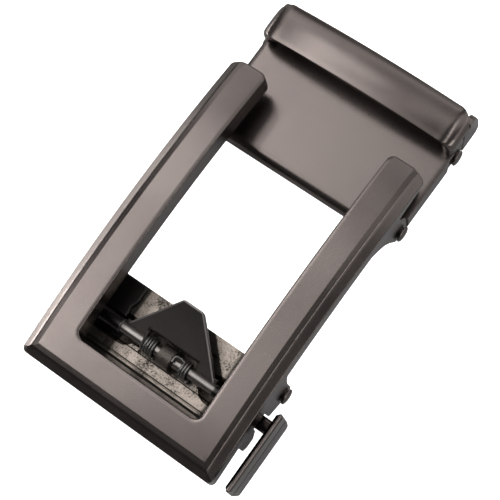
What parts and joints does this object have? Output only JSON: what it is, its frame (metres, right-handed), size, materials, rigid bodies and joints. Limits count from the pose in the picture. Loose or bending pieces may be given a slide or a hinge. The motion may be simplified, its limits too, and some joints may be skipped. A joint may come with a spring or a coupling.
{
  "type": "ratchet belt buckle",
  "caption": "Open-frame ratchet belt buckle with a sprung pawl, side release lever, keeper loop and toothed jaw for the strap's end.",
  "frame": {"origin": "bottom centre of the whole buckle's box, on the surface that it lies on", "axes": "+X along the belt from the crossbar towards the strap jaw, +Y across the belt away from the release lever, +Z out of the arched front face"},
  "size_m": [0.0772, 0.0442, 0.014],
  "materials": {
    "gunmetal": "satin gunmetal plating on die-cast zinc",
    "raw_zinc": "as-cast, fine grain",
    "bright_steel": "bright drawn",
    "black_pawl": "satin dark plating"
  },
  "bodies": {
    "frame": {"front_frame": "gunmetal", "back_plate": "raw_zinc", "plate_rivet_right": "gunmetal", "plate_rivet_left": "gunmetal", "hinge_rivet_right": "gunmetal", "hinge_rivet_left": "gunmetal"},
    "release": {"lever_shaft": "bright_steel", "release_lever": "gunmetal", "pawl": "black_pawl", "spring_right": "bright_steel", "spring_left": "bright_steel"},
    "clamp": {"clamp_housing": "gunmetal", "jaw_rivet_right": "gunmetal", "jaw_rivet_left": "gunmetal"},
    "jaw": {"clamp_jaw": "gunmetal"}
  },
  "joints": [
    {"name": "lever_turn", "type": "hinge", "parent": "frame", "child": "release", "pos_m": [-0.02535, 0.00137, 0.00368], "axis": [0, 1, 0], "range_deg": [0, 25], "stiffness_Nm_per_rad": 0.02, "springref_deg": -28.65},
    {"name": "clamp_hinge", "type": "hinge", "parent": "frame", "child": "clamp", "pos_m": [0.01485, 0.00137, 0.0022], "axis": [0, 1, 0], "range_deg": [0, 45]},
    {"name": "jaw_hinge", "type": "hinge", "parent": "clamp", "child": "jaw", "pos_m": [0.03145, 0.00137, 0.0016], "axis": [0, 1, 0], "range_deg": [0, 50]}
  ]
}
